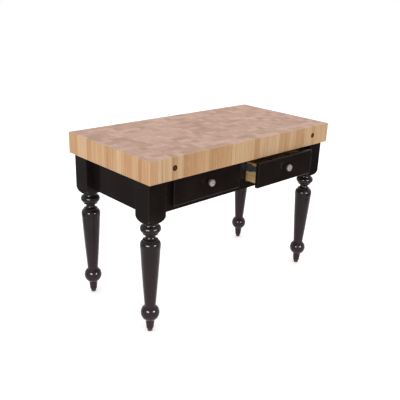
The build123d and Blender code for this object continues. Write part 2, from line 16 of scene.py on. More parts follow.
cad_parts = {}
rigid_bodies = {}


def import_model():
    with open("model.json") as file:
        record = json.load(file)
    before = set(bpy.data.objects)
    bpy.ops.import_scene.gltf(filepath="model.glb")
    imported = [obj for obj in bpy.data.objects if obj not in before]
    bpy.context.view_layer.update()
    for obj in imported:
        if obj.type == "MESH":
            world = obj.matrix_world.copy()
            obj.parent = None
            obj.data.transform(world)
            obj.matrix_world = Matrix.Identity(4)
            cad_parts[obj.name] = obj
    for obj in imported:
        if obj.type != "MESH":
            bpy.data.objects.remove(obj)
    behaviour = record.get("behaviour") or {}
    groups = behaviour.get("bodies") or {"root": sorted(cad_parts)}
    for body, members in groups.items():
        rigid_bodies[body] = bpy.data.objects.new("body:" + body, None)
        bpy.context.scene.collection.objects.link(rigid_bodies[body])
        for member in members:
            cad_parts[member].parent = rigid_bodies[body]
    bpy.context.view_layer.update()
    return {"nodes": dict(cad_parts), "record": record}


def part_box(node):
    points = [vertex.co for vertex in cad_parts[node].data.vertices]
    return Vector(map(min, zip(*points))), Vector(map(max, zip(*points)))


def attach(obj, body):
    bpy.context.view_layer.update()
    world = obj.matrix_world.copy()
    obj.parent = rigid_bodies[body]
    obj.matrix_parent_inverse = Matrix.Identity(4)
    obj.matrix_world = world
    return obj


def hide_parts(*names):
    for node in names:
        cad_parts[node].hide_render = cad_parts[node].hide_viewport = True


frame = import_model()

MM = 0.001
WELD = 0.01 * MM  # points closer than this are one point
IN_PLANE = 0.05 * MM  # points this near a plane lie in it
nodes = frame["nodes"]
behaviour = frame["record"]["behaviour"]
BODY_OF = {name: body for body, names in behaviour["bodies"].items() for name in names}

# %% [markdown]
# ## Places that the lesson uses
# The legs and the plugs are the same at every corner, so one of each is measured.

# %% Read the places of the main pieces
block_low, block_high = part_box("butcher_block")
block_size = block_high - block_low
plugs_low, plugs_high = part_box("walnut_plugs")
PLUG_RADIUS = (plugs_high.z - plugs_low.z) / 2
PLUG_X = plugs_high.x - PLUG_RADIUS
PLUG_Z = (plugs_high.z + plugs_low.z) / 2
leg_low, leg_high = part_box("leg_back_right")
POST_WIDTH = leg_high.x - leg_low.x
LEG_X, LEG_Y = (leg_low.x + leg_high.x) / 2, (leg_low.y + leg_high.y) / 2
print("block", [round(v, 4) for v in block_size], "post", round(POST_WIDTH, 4))
print("a leg stands at", round(LEG_X, 4), round(LEG_Y, 4))

# %% [markdown]
# ## The camera
# The table is seen from its front left corner, a little above the worktop, with a slightly long
# lens. The camera's three axes are worked out from the two angles and the small roll, which is
# clearer than three Euler angles.

# %% Camera
AZIMUTH, ELEVATION, ROLL = math.radians(44.01), math.radians(20.69), math.radians(2.21)
CAMERA_PLACE = Vector((-1.919, -1.954, 1.479))
LENS, SENSOR = 49.97, 36.0

forward = Vector((math.sin(AZIMUTH) * math.cos(ELEVATION), math.cos(AZIMUTH) * math.cos(ELEVATION),
                  -math.sin(ELEVATION)))
level = Vector((math.cos(AZIMUTH), -math.sin(AZIMUTH), 0))
right = level * math.cos(ROLL) + level.cross(forward) * math.sin(ROLL)
up = right.cross(forward)
bpy.ops.object.camera_add(location=CAMERA_PLACE)
camera = bpy.context.object
camera.name = "camera"
camera.data.lens, camera.data.sensor_width = LENS, SENSOR
camera.matrix_world = Matrix.Translation(CAMERA_PLACE) @ Matrix((right, up, -forward)).transposed().to_4x4()
bpy.context.scene.camera = camera
print("camera", tuple(round(v, 3) for v in camera.location))

# %% [markdown]
# ## Light and floor
# A white floor under an even white sky lights the wood softly from all sides. Two wide softboxes in
# front of the table draw the paired highlights on the turned beads, which tell the eye that the
# paint is glossy. They make highlights and no other light, so the wood keeps its even look. Glossy
# paint also mirrors the white floor, which would turn its upright faces grey, so two cloths lie
# where those faces look. Only mirrors see the cloths: the camera and the shadows pass through them.

# %% Sky, softboxes and floor
def linear(code):
    """An sRGB hex colour as linear red, green, blue and alpha."""
    values = [int(code[i:i + 2], 16) / 255 for i in (1, 3, 5)]
    return [v / 12.92 if v <= 0.04045 else ((v + 0.055) / 1.055) ** 2.4 for v in values] + [1.0]


world = bpy.data.worlds.new("studio")
bpy.context.scene.world = world
world.use_nodes = True
world.node_tree.nodes["Background"].inputs["Color"].default_value = linear("#ffffff")
world.node_tree.nodes["Background"].inputs["Strength"].default_value = 1.0
bpy.context.scene.view_settings.view_transform = "Standard"


SOFTBOX_WIDTH, SOFTBOX_HEIGHT = 1.3, 0.6
SOFTBOX_POWER = 120  # watts
CLOTH_LIFT = 2 * MM  # above the floor


def softbox(name, place, target):
    """A wide area light that faces a target and shows only in glossy surfaces."""
    bpy.ops.object.light_add(type="AREA", location=place)
    light = bpy.context.object
    light.name = name
    light.data.shape = "RECTANGLE"
    light.data.size, light.data.size_y = SOFTBOX_WIDTH, SOFTBOX_HEIGHT
    light.data.energy = SOFTBOX_POWER
    light.rotation_euler = (Vector(target) - Vector(place)).to_track_quat("-Z", "Y").to_euler()
    light.visible_diffuse = False
    return light


bead_middle = (0, 0, block_low.z * 0.6)
softboxes = [softbox("softbox_left", (-2.65, -1.05, 1.15), bead_middle),
             softbox("softbox_front", (0.15, -2.90, 1.15), bead_middle)]
bpy.ops.mesh.primitive_plane_add(size=60)
floor = bpy.context.object
floor.name = "floor"


def flag(name, corner_a, corner_b):
    """A dark cloth just above the floor that only glossy surfaces see."""
    middle = (Vector(corner_a) + Vector(corner_b)) / 2
    span = Vector(corner_b) - Vector(corner_a)
    bpy.ops.mesh.primitive_plane_add(size=1, location=(middle.x, middle.y, CLOTH_LIFT))
    cloth = bpy.context.object
    cloth.scale = (span.x, span.y, 1)
    cloth.name = name
    cloth.visible_camera = cloth.visible_diffuse = False
    cloth.visible_shadow = cloth.visible_transmission = False
    return cloth


flag_front = flag("flag_front", (0.2, -3.4), (3.4, -1.1))
flag_side = flag("flag_side", (-3.2, 0.6), (-1.1, 3.2))

# %% [markdown]
# ## One helper for materials
# Every finish below is a small node tree. `node` adds one node, sets its properties, fills its
# inputs with values or with the outputs of earlier nodes, and gives back one output or several.
# A colour ramp's stops are pairs of a position and a colour, or a position and a shade of grey.

# %% Material helpers
tree = None


def start(name):
    """Begin a material: its tree is the one that node() adds to."""
    global tree
    material = bpy.data.materials.new(name)
    material.use_nodes = True
    tree = material.node_tree
    tree.nodes.clear()
    return material


def node(kind, inputs=(), out=0, stops=(), **settings):
    """Add a node with its settings, its inputs by number or name, and a ramp's stops."""
    made = tree.nodes.new("ShaderNode" + kind)
    for key, value in settings.items():
        setattr(made, key, value)
    for key, value in inputs.items() if isinstance(inputs, dict) else enumerate(inputs):
        if isinstance(value, bpy.types.NodeSocket):
            tree.links.new(value, made.inputs[key])
        else:
            made.inputs[key].default_value = value
    for i, (position, colour) in enumerate(stops):
        stop = made.color_ramp.elements[i] if i < 2 else made.color_ramp.elements.new(position)
        stop.position = position
        stop.color = linear(colour) if isinstance(colour, str) else (colour, colour, colour, 1)
    if isinstance(out, tuple):
        return [made.outputs[i] for i in out]
    return made.outputs[out] if made.outputs else made


# %% [markdown]
# ## End-grain maple, oiled
# The block is glued from rows of maple pieces that stand on end, so its upper face shows growth
# rings and its edges show upright grain. It could be built from hundreds of small blocks, but one
# pattern in three dimensions gives the same and keeps the mesh light. The rows run along X, each
# row is cut into pieces of uneven length, and each piece has its own heart, about which its rings
# turn. The rings don't change with Z, so they run down the edges as straight grain. End grain
# drinks more oil than side grain, which makes the upper face pinker and duller than the edges.

# %% Material: pieces and growth rings of the block
ROWS = 16  # rows of pieces across the block
ROW_WIDTH = block_size.y / ROWS
PIECE_LENGTH = 48 * MM
RING_SPACING = 4.6 * MM  # real rings are 2 to 3 mm apart, drawn coarser so that they show

end_grain_maple = start("oiled_end_grain_maple")
place = node("TexCoord", out=3)
x, y = node("SeparateXYZ", [place], out=(0, 1))
row_place = node("Math", [y, 1 / ROW_WIDTH, 0.001 - block_low.y / ROW_WIDTH], operation="MULTIPLY_ADD")
row = node("Math", [row_place], operation="FLOOR")
row_luck = node("TexWhiteNoise", {"W": row}, noise_dimensions="1D")
row_start = node("Math", [row_luck, 37.0], operation="MULTIPLY")
along = node("Math", [x, 1 / PIECE_LENGTH, row_start], operation="MULTIPLY_ADD")
sway = node("Math", [node("Math", [along, 1.9, row_start], operation="MULTIPLY_ADD")], operation="SINE")
along = node("Math", [sway, 0.34, along], operation="MULTIPLY_ADD")
piece_id = node("CombineXYZ", [node("Math", [along], operation="FLOOR"), row, 0.0])
piece_luck = node("TexWhiteNoise", {"Vector": piece_id}, out=1, noise_dimensions="3D")
luck_x, luck_y, luck_tint = node("SeparateColor", [piece_luck], out=(0, 1, 2))

in_row = node("Math", [row_place], operation="FRACT")
in_piece = node("Math", [along], operation="FRACT")
heart_x = node("Math", [luck_x, -3.2, in_piece], operation="MULTIPLY_ADD")
heart_y = node("Math", [luck_y, -3.6, in_row], operation="MULTIPLY_ADD")
heart = node("CombineXYZ", [heart_x, heart_y, 0.0])
from_heart = node("VectorMath", [heart, (1.1, 1.3, 0.0)], operation="ADD")
from_heart = node("VectorMath", [from_heart, (PIECE_LENGTH, ROW_WIDTH, 0.0)], operation="MULTIPLY")
from_heart = node("VectorMath", [from_heart], out=1, operation="LENGTH")
wobble = node("TexNoise", {"Vector": place, "Scale": 1 / (36 * MM), "Detail": 2.0})
from_heart = node("Math", [wobble, 3.5 * MM, from_heart], operation="MULTIPLY_ADD")
ring_turn = node("Math", [from_heart, math.tau / RING_SPACING], operation="MULTIPLY")
ring_wave = node("Math", [node("Math", [ring_turn], operation="SINE"), 0.5, 0.5], operation="MULTIPLY_ADD")
rings = node("ValToRGB", [ring_wave], stops=[(0.45, 0.0), (0.95, 1.0)])
print("rows", ROWS, "of", round(ROW_WIDTH / MM, 1), "mm, pieces about", round(PIECE_LENGTH / MM), "mm long")

# %% [markdown]
# Three more things make it wood and not tiles. Streaks run down the edges in three widths, and they
# change from piece to piece, because the place that they read is shifted by the piece's number.
# Cut pores leave the upper face a little mottled. The rounded edges are a little smoother, and a painted
# highlight makes them paler.

# %% Material: streaks, glue lines and edges of the block
GLUE_LINE = 0.8 * MM  # drawn a few times wider than the real glue line, so that it shows
shifted = node("VectorMath", [piece_id, (0.137, 0.091, 0.0), place], operation="MULTIPLY_ADD")
fine_place = node("Mapping", {"Vector": shifted, "Scale": (430, 430, 9)})
narrow_place = node("Mapping", {"Vector": shifted, "Scale": (170, 170, 2.4)})
broad_place = node("Mapping", {"Vector": shifted, "Scale": (58, 58, 2.0)})
fine = node("TexNoise", {"Vector": fine_place, "Scale": 1.0, "Detail": 2.0})
narrow = node("TexNoise", {"Vector": narrow_place, "Scale": 1.0, "Detail": 3.0})
broad = node("TexNoise", {"Vector": broad_place, "Scale": 1.0, "Detail": 2.0})
mottle = node("TexNoise", {"Vector": place, "Scale": 1 / (22 * MM), "Detail": 4.0, "Roughness": 0.65})

normal = node("TexCoord", out=1)
nx, ny, nz = node("SeparateXYZ", [node("VectorMath", [normal], operation="ABSOLUTE")], out=(0, 1, 2))
upper = node("ValToRGB", [nz], stops=[(0.35, 0.0), (0.85, 1.0)])
squareness = node("Math", [node("Math", [nx, ny], operation="MAXIMUM"), nz], operation="MAXIMUM")
edge_highlight_and_polish = node("ValToRGB", [squareness], stops=[(0.86, 1.0), (0.985, 0.0)])

side_tint = node("ValToRGB", [luck_tint], stops=[(0.0, "#be9068"), (0.25, "#c69a70"), (0.5, "#cca179"),
                                                 (0.75, "#cfa780"), (1.0, "#d4b08b")])
end_tint = node("ValToRGB", [luck_tint], stops=[(0.0, "#bb9783"), (0.2, "#c7a28f"), (0.6, "#d0ac9a"),
                                                (1.0, "#dab8a6")])
dark_streak = node("ValToRGB", [narrow], stops=[(0.50, 0.0), (0.72, 0.48)])
pale_streak = node("ValToRGB", [broad], stops=[(0.48, 0.0), (0.72, 0.50)])
side_colour = node("MixRGB", [dark_streak, side_tint, linear("#9c6836")])
side_colour = node("MixRGB", [pale_streak, side_colour, linear("#dcbc90")])
end_mottle = node("ValToRGB", [mottle], stops=[(0.40, 0.30), (0.64, 0.0)])
end_colour = node("MixRGB", [end_mottle, end_tint, linear("#a5806c")])
colour = node("MixRGB", [upper, side_colour, end_colour])

off_middle_y = node("Math", [node("Math", [in_row, 0.5], operation="SUBTRACT")], operation="ABSOLUTE")
off_middle_x = node("Math", [node("Math", [in_piece, 0.5], operation="SUBTRACT")], operation="ABSOLUTE")
joint_y = node("Math", [off_middle_y, -ROW_WIDTH, ROW_WIDTH / 2], operation="MULTIPLY_ADD")
joint_x = node("Math", [off_middle_x, -PIECE_LENGTH, PIECE_LENGTH / 2], operation="MULTIPLY_ADD")
to_joint = node("Math", [joint_x, joint_y], operation="MINIMUM")
to_joint = node("Math", [to_joint, GLUE_LINE], operation="DIVIDE")
glue = node("ValToRGB", [to_joint], stops=[(0.3, 0.85), (1.0, 1.0)])
ring_and_streak = node("Math", [rings, 0.5, fine], operation="MULTIPLY_ADD")
ring_shade = node("ValToRGB", [ring_and_streak], stops=[(0.40, 1.0), (1.0, 0.84)])
colour = node("MixRGB", [1.0, colour, ring_shade], blend_type="MULTIPLY")
colour = node("MixRGB", [1.0, colour, glue], blend_type="MULTIPLY")
# Painted highlight: the rounded edges are mixed towards a pale colour.
colour = node("MixRGB", [node("Math", [edge_highlight_and_polish, 0.3], operation="MULTIPLY"), colour, linear("#e3c3a6")])
sunk = node("Math", [ring_shade, glue], operation="MULTIPLY")
relief = node("Math", [sunk, 0.3, fine], operation="MULTIPLY_ADD")
bump = node("Bump", {"Strength": 0.12, "Distance": 0.4 * MM, "Height": relief})
roughness = node("MapRange", {"Value": mottle, "From Min": 0.3, "From Max": 0.7,
                              "To Min": 0.54, "To Max": 0.66})
roughness = node("Math", [edge_highlight_and_polish, -0.12, roughness], operation="MULTIPLY_ADD")
shader = node("BsdfPrincipled", {"Base Color": colour, "Roughness": roughness, "Specular IOR Level": 0.15,
                                 "Normal": bump})
node("OutputMaterial", [shader])
print(end_grain_maple.name, len(tree.nodes), "nodes")

# %% [markdown]
# ## Black enamel
# The base is sprayed with black enamel over wood. The coat is a little brown, it has a faint orange
# peel, and the grain of the wood under it shows as a long low ripple. Towards the feet the base colour
# turns a lighter brown: painted light, for the light that the white floor throws on the lower legs.
# The specular level is low, because the white sky would otherwise lift the black to grey.

# %% Material: sprayed black enamel on wood
ORANGE_PEEL = 2.2 * MM
WOOD_RIPPLE = 4.0 * MM  # across the grain
PAINTED_FLOOR_LIGHT_LOW, PAINTED_FLOOR_LIGHT_HIGH = 0.05, 0.50  # the painted floor light fades out between these heights


def enamel(name, grain_axis):
    """Black enamel whose ripple runs along one axis: the direction of the wood under it."""
    made = start(name)
    here = node("TexCoord", out=3)
    stretch = [1 / WOOD_RIPPLE] * 3
    stretch[grain_axis] = 9.0
    peel = node("TexNoise", {"Vector": here, "Scale": 1 / ORANGE_PEEL, "Detail": 2.0})
    stretched = node("Mapping", {"Vector": here, "Scale": stretch})
    ripple = node("TexNoise", {"Vector": stretched, "Scale": 1.0, "Detail": 3.0})
    height = node("Math", [ripple, 1.8, peel], operation="MULTIPLY_ADD")
    coat = node("Bump", {"Strength": 0.06, "Distance": 0.2 * MM, "Height": height})
    cloud = node("TexNoise", {"Vector": here, "Scale": 9.0, "Detail": 3.0})
    coat_tint = node("ValToRGB", [cloud], stops=[(0.35, "#171110"), (0.65, "#1d1615")])
    above_floor = node("SeparateXYZ", [here], out=2)
    # Painted light: the base turns lighter and browner towards the floor, for the light that the floor
    # throws up.
    painted_floor_light = node("MapRange", {"Value": above_floor, "From Min": PAINTED_FLOOR_LIGHT_LOW, "From Max": PAINTED_FLOOR_LIGHT_HIGH,
                               "To Min": 0.7, "To Max": 0.0})
    base = node("MixRGB", [painted_floor_light, coat_tint, linear("#35222a")])
    gloss = node("MapRange", {"Value": cloud, "From Min": 0.3, "From Max": 0.7,
                              "To Min": 0.10, "To Max": 0.16})
    node("OutputMaterial", [node("BsdfPrincipled", {"Base Color": base, "Roughness": gloss,
                                                    "Specular IOR Level": 0.20, "Normal": coat})])
    return made


enamel_x = enamel("black_enamel_along_x", 0)
enamel_y = enamel("black_enamel_along_y", 1)
enamel_z = enamel("black_enamel_along_z", 2)
print("enamels:", enamel_x.name, enamel_y.name, enamel_z.name)

# %% [markdown]
# ## Boards of the drawers and of the inner frame
# The drawer boxes are maple under clear lacquer, the panels in them are birch plywood, and the
# strips that carry the slides are bare planed maple. All show fine straight lines and slow bands
# along the board, so one function makes them, with the axis of the board and two colours.

# %% Material: straight-grained boards
def long_grain(name, grain_axis, dark, light, roughness):
    """A straight-grained board: fine lines and slow bands along one axis."""
    made = start(name)
    here = node("TexCoord", out=3)
    fine_stretch, band_stretch = [1 / (2 * MM)] * 3, [1 / (14 * MM)] * 3
    fine_stretch[grain_axis], band_stretch[grain_axis] = 9.0, 2.2
    line_place = node("Mapping", {"Vector": here, "Scale": fine_stretch})
    band_place = node("Mapping", {"Vector": here, "Scale": band_stretch})
    lines = node("TexNoise", {"Vector": line_place, "Scale": 1.0, "Detail": 3.0})
    bands = node("TexNoise", {"Vector": band_place, "Scale": 1.0, "Detail": 4.0, "Distortion": 0.6})
    mixed = node("Math", [lines, 0.6, bands], operation="MULTIPLY_ADD")
    base = node("ValToRGB", [mixed], stops=[(0.60, dark), (0.95, light)])
    pores = node("Bump", {"Strength": 0.08, "Distance": 0.3 * MM, "Height": mixed})
    wood = node("BsdfPrincipled", {"Base Color": base, "Roughness": roughness, "Normal": pores})
    node("OutputMaterial", [wood])
    return made


lacquered_x = long_grain("lacquered_maple_along_x", 0, "#b08a58", "#cfae7a", 0.34)
lacquered_y = long_grain("lacquered_maple_along_y", 1, "#b08a58", "#cfae7a", 0.34)
plywood = long_grain("lacquered_birch_plywood", 0, "#bd9966", "#d3b684", 0.36)
planed_x = long_grain("planed_maple_along_x", 0, "#b4936a", "#cdb188", 0.6)
planed_y = long_grain("planed_maple_along_y", 1, "#b4936a", "#cdb188", 0.6)
print("boards:", [m.name for m in (lacquered_x, lacquered_y, plywood, planed_x, planed_y)])

# %% [markdown]
# ## Metals
# Satin nickel is plated, then brushed with a fine wheel, which blurs what it mirrors into one soft
# grey. The knobs' necks get a dark, dull nickel: painted shade, for the shadow behind the head. Zinc
# plate on the slides and screws is brighter and bluer, with a crystal mottle. A metal's base colour is
# the colour of its reflection, and its IOR stays as it is.

# %% Material: plated metals
def plated(name, dark, light, roughness, mottle_size):
    """A plated metal whose colour and polish vary a little over patches of one size."""
    made = start(name)
    here = node("TexCoord", out=3)
    cloud = node("TexNoise", {"Vector": here, "Scale": 1 / mottle_size, "Detail": 3.0})
    base = node("ValToRGB", [cloud], stops=[(0.35, dark), (0.65, light)])
    polish = node("MapRange", {"Value": cloud, "From Min": 0.3, "From Max": 0.7, "To Min": roughness - 0.05,
                               "To Max": roughness + 0.06})
    grit = node("TexNoise", {"Vector": here, "Scale": 1 / (0.25 * MM), "Detail": 1.0})
    brushed = node("Bump", {"Strength": 0.05, "Distance": 0.05 * MM, "Height": grit})
    metal = node("BsdfPrincipled", {"Base Color": base, "Metallic": 1.0, "Roughness": polish,
                                    "Normal": brushed})
    node("OutputMaterial", [metal])
    return made


nickel = plated("satin_nickel", "#9a8f89", "#aca19b", 0.5, 2 * MM)
neck_painted_shade_nickel = plated("nickel_with_painted_shade", "#2c2826", "#3a3533", 0.6, 2 * MM)
zinc = plated("zinc_plated_steel", "#9a9da0", "#b4b7ba", 0.34, 6 * MM)
print("metals:", nickel.name, neck_painted_shade_nickel.name, zinc.name)

# %% [markdown]
# ## Walnut plugs and small plastics
# Each plug is turned from the end of a walnut stick, so its face is end grain: rings about its own
# middle, darker from the middle out to the rim. The glides under the feet are moulded
# in grey plastic with a fine spark-eroded grain, and the bumpers are soft clear plastic.

# %% Material: walnut, glide plastic and bumper plastic
walnut = start("oiled_walnut_end_grain")
here = node("TexCoord", out=3)
plug_x, plug_z = node("SeparateXYZ", [here], out=(0, 2))
plug_x = node("Math", [node("Math", [plug_x], operation="ABSOLUTE"), PLUG_X], operation="SUBTRACT")
plug_z = node("Math", [plug_z, PLUG_Z], operation="SUBTRACT")
radius = node("VectorMath", [node("CombineXYZ", [plug_x, 0.0, plug_z])], out=1, operation="LENGTH")
radius = node("Math", [radius, PLUG_RADIUS], operation="DIVIDE")
# The colour darkens from the middle of the plug out to its rim.
body_tint = node("ValToRGB", [radius], stops=[(0.15, "#6b4026"), (0.50, "#3a2012"), (0.80, "#22120a")])
pores = node("TexNoise", {"Vector": here, "Scale": 1 / (1.2 * MM), "Detail": 3.0})
pore_shade = node("ValToRGB", [pores], stops=[(0.35, 0.7), (0.6, 1.0)])
walnut_colour = node("MixRGB", [1.0, body_tint, pore_shade], blend_type="MULTIPLY")
node("OutputMaterial", [node("BsdfPrincipled", {"Base Color": walnut_colour, "Roughness": 0.6,
                                                "Specular IOR Level": 0.05})])


def fine_grained(name, dark, light, roughness, grain):
    """An even colour with a fine grain, as a mould leaves on plastic and fibres make on felt."""
    made = start(name)
    here = node("TexCoord", out=3)
    speckle = node("TexNoise", {"Vector": here, "Scale": 1 / grain, "Detail": 2.0})
    base = node("ValToRGB", [speckle], stops=[(0.3, dark), (0.7, light)])
    texture = node("Bump", {"Strength": 0.15, "Distance": 0.05 * MM, "Height": speckle})
    surface = node("BsdfPrincipled", {"Base Color": base, "Roughness": roughness, "Normal": texture})
    node("OutputMaterial", [surface])
    return made


glide_plastic = fine_grained("moulded_grey_polyethylene", "#4c4743", "#5b5650", 0.5, 0.8 * MM)
bumper_plastic = fine_grained("soft_clear_bumper", "#c9c9c2", "#dcdcd6", 0.3, 1.5 * MM)
print("small parts:", walnut.name, glide_plastic.name, bumper_plastic.name)

# %% [markdown]
# ## Studio floor and cloths
# The floor is frosted white acrylic, lit a little from below, so it stays white under the table. The
# cloth in front of the drawers is black felt, which leaves their paint nearly black. The one beside
# the left end is grey felt, which leaves a soft sheen on the apron there.

# %% Material: frosted acrylic and felt
backlit = start("frosted_white_acrylic")
frost = node("TexNoise", {"Vector": node("TexCoord", out=3), "Scale": 1 / (40 * MM), "Detail": 2.0})
white = node("ValToRGB", [frost], stops=[(0.3, "#fbfbfb"), (0.7, "#fefefe")])
node("OutputMaterial", [node("BsdfPrincipled", {"Base Color": white, "Roughness": 0.9,
                                                "Emission Color": white, "Emission Strength": 0.35})])
floor.data.materials.append(backlit)
flag_front.data.materials.append(fine_grained("black_felt", "#050505", "#0b0b0b", 0.95, 3 * MM))
flag_side.data.materials.append(fine_grained("grey_felt", "#707070", "#7c7c7c", 0.95, 3 * MM))
print("studio:", [o.data.materials[0].name for o in (floor, flag_front, flag_side)])

# %% [markdown]
# ## Modelling by hand, in code
# The pieces below are made with the operators that a hand would use. An operator works on whatever
# is selected, and the import leaves all CAD nodes selected, so each piece is picked alone first.
# Every finished piece gets its shading, takes the place of its CAD node and rides with its body.
# Weighted normals keep the flat faces flat beside their small rounded edges.

# %% Helpers for pieces
def pick(piece):
    """Select one object alone and make it the active one."""
    bpy.ops.object.select_all(action="DESELECT")
    piece.select_set(True)
    bpy.context.view_layer.objects.active = piece


def apply_modifier(piece, kind, **settings):
    """Add one modifier with its settings and apply it."""
    pick(piece)
    modifier = piece.modifiers.new(kind.lower(), kind)
    for key, value in settings.items():
        setattr(modifier, key, value)
    bpy.ops.object.modifier_apply(modifier=modifier.name)


def stand_for(piece, name, material, crease=40):
    """Shade a piece, give it its finish, and let it stand for a CAD node and ride with its body."""
    piece.name = f"{name}_shaped"
    pick(piece)
    bpy.ops.object.shade_smooth_by_angle(angle=math.radians(crease))
    apply_modifier(piece, "WEIGHTED_NORMAL", keep_sharp=True)
    piece.data.materials.clear()
    piece.data.materials.append(material)
    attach(piece, BODY_OF[name])
    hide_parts(name)


# %% [markdown]
# ## Turned shapes
# A turner works to an outline: beads, coves and fillets with crisp corners between them. The
# outline could be a curve with bevelled handles, but drawn as runs of straight lines and of arcs
# through three points it keeps each corner where the chisel leaves one. One point is extruded along
# the outline, and the chain of edges is spun round the axis.

# %% Draw an outline and spin it
ARC_STEPS = 9


def arc(start, through, end):
    """Points along the circle through three points, without the first."""
    u, v = through - start, end - start
    lift = Vector((v.y * u.length_squared - u.y * v.length_squared,
                   u.x * v.length_squared - v.x * u.length_squared))
    centre = start + lift / (2 * u.cross(v))
    turns = [math.atan2(p.y - centre.y, p.x - centre.x) for p in (start, through, end)]
    middle, sweep = [(turn - turns[0]) % math.tau for turn in turns[1:]]
    if middle > sweep:
        sweep -= math.tau
    radius = (start - centre).length
    angles = [turns[0] + sweep * i / ARC_STEPS for i in range(1, ARC_STEPS + 1)]
    return [centre + radius * Vector((math.cos(a), math.sin(a))) for a in angles]


def turned(name, runs, foot, axis, steps):
    """Spin an outline, runs of (radius, height) in mm, about an axis that starts at the foot."""
    path = []
    for kind, *points in runs:
        points = [Vector(point) for point in points]
        path += arc(path[-1], *points) if kind == "arc" else points
    side = Vector((1, 0, 0))
    places = [foot + (side * point.x + axis * point.y) * MM for point in path]
    bpy.ops.object.select_all(action="DESELECT")
    bpy.ops.mesh.primitive_plane_add(size=2 * MM)
    piece = bpy.context.object
    piece.name = name
    bpy.ops.object.mode_set(mode="EDIT")
    bpy.ops.mesh.select_mode(type="VERT")
    bpy.ops.mesh.select_all(action="SELECT")
    bpy.ops.mesh.merge(type="CENTER")
    bpy.ops.transform.translate(value=places[0])
    for here, there in zip(places, places[1:]):
        bpy.ops.mesh.extrude_vertices_move(TRANSFORM_OT_translate={"value": there - here})
    bpy.ops.mesh.select_all(action="SELECT")
    bpy.ops.mesh.spin(steps=steps, angle=math.tau, center=foot, axis=axis)
    bpy.ops.mesh.select_all(action="SELECT")
    bpy.ops.mesh.remove_doubles(threshold=WELD)
    bpy.ops.mesh.normals_make_consistent(inside=False)
    bpy.ops.object.mode_set(mode="OBJECT")
    return piece


half_circle = arc(Vector((1, 0)), Vector((0, 1)), Vector((-1, 0)))
print("a half circle in", len(half_circle), "steps ends at", tuple(round(v, 2) for v in half_circle[-1]))

# %% [markdown]
# ## Legs
# Each leg is a square post that is turned round below the aprons. On the lathe the corners of the
# square come off in a curved shoulder, so the outline starts outside the corners: where the spun
# shape meets the square post, a Boolean leaves the same curved shoulder. The beads hang at fixed
# depths below the square, the ball stands at a fixed height, and the taper between takes up the rest.

# %% Turn one leg and cut it to the square post
APRON_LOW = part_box("back_apron")[0].z / MM
POST_TAIL = 10.5  # square part below the aprons
FLOOR_TO_WOOD = leg_low.z / MM
NAIL_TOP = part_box("foot_glides")[1].z / MM + 1
SQUARE_BOTTOM = APRON_LOW - POST_TAIL
POST_TOP = leg_high.z / MM
CORNER = POST_WIDTH / MM / math.sqrt(2) + 1
NAIL_HOLE = 1.7
POST_EDGE = 1.6 * MM
LEG_FACETS = 96
s = SQUARE_BOTTOM
leg_outline = [
    ("line", (0, POST_TOP + 1), (CORNER, POST_TOP + 1), (CORNER, s + 20)),
    ("arc", (CORNER - 6, s + 1), (37, s - 14)),  # shoulder, cut round from the square
    ("arc", (33.5, s - 22), (35.8, s - 29.5)),  # cove above the bead
    ("arc", (46.2, s - 47), (36.2, s - 64)),  # large bead
    ("line", (34.5, s - 65.5), (34.5, s - 71)),
    ("arc", (26, s - 74), (21.5, s - 81)),  # cove to the neck
    ("arc", (24, s - 90), (31.5, s - 96)),
    ("line", (33.5, s - 97), (33.5, s - 102), (35.5, s - 103)),  # fillet above the vase
    ("arc", (43.6, s - 112), (45.7, s - 122)),  # shoulder of the vase
    ("arc", (45.8, s - 132), (44.5, s - 142)),
    ("arc", (36.2, (s - 2) / 2), (25.8, 138)),  # long taper, a little full in the middle
    ("line", (26.6, 136.5), (26.6, 131)),
    ("arc", (43.2, 96), (21.5, 60)),  # ball foot
    ("line", (21.2, 58), (17.4, 18), (15.5, 14.5), (13.2, 11.5), (13.2, FLOOR_TO_WOOD)),
    ("line", (NAIL_HOLE, FLOOR_TO_WOOD), (NAIL_HOLE, NAIL_TOP), (0, NAIL_TOP)),
]
leg_foot = Vector((LEG_X, LEG_Y, 0))
leg = turned("leg_blank", leg_outline, leg_foot, Vector((0, 0, 1)), LEG_FACETS)

bpy.ops.object.select_all(action="DESELECT")
post_high = leg_high.z
bpy.ops.mesh.primitive_cube_add(size=1, location=(LEG_X, LEG_Y, post_high / 2),
                                scale=(POST_WIDTH, POST_WIDTH, post_high))
post = bpy.context.object
bpy.ops.object.transform_apply(location=True, rotation=False, scale=True)
bpy.ops.object.mode_set(mode="EDIT")
bpy.ops.mesh.select_all(action="DESELECT")
bpy.ops.mesh.select_mode(type="EDGE")
post_mesh = bmesh.from_edit_mesh(post.data)
for edge in post_mesh.edges:
    edge.select_set(abs(edge.verts[0].co.z - edge.verts[1].co.z) > post_high / 2)
bmesh.update_edit_mesh(post.data)
bpy.ops.mesh.bevel(offset=POST_EDGE, segments=4)
bpy.ops.object.mode_set(mode="OBJECT")
apply_modifier(leg, "BOOLEAN", operation="INTERSECT", object=post, solver="EXACT")
bpy.data.objects.remove(post)
print("leg:", len(leg.data.polygons), "faces, square from", round(s, 1), "mm up")

# %% [markdown]
# Every leg is the same up to its mortises, which take the tenons of the aprons, the rails and the
# front stiles. The end of each tenon is measured on its CAD node: all its points that lie as far
# out as the node goes. A block a little larger than the tenon is then cut from the leg.

# %% Place four legs and cut their mortises
MORTISE_GAP = 0.15 * MM
CUTTER_OVERHANG = 2 * MM  # how far a mortise's cutter stands out of the post


def tenon(name, axis, side):
    """The lowest and highest corner of the end face of a node's tenon."""
    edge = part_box(name)[side > 0][axis]
    face = [v.co for v in nodes[name].data.vertices if abs(v.co[axis] - edge) < IN_PLANE]
    return [Vector(pick_one(v[i] for v in face) for i in range(3)) for pick_one in (min, max)]


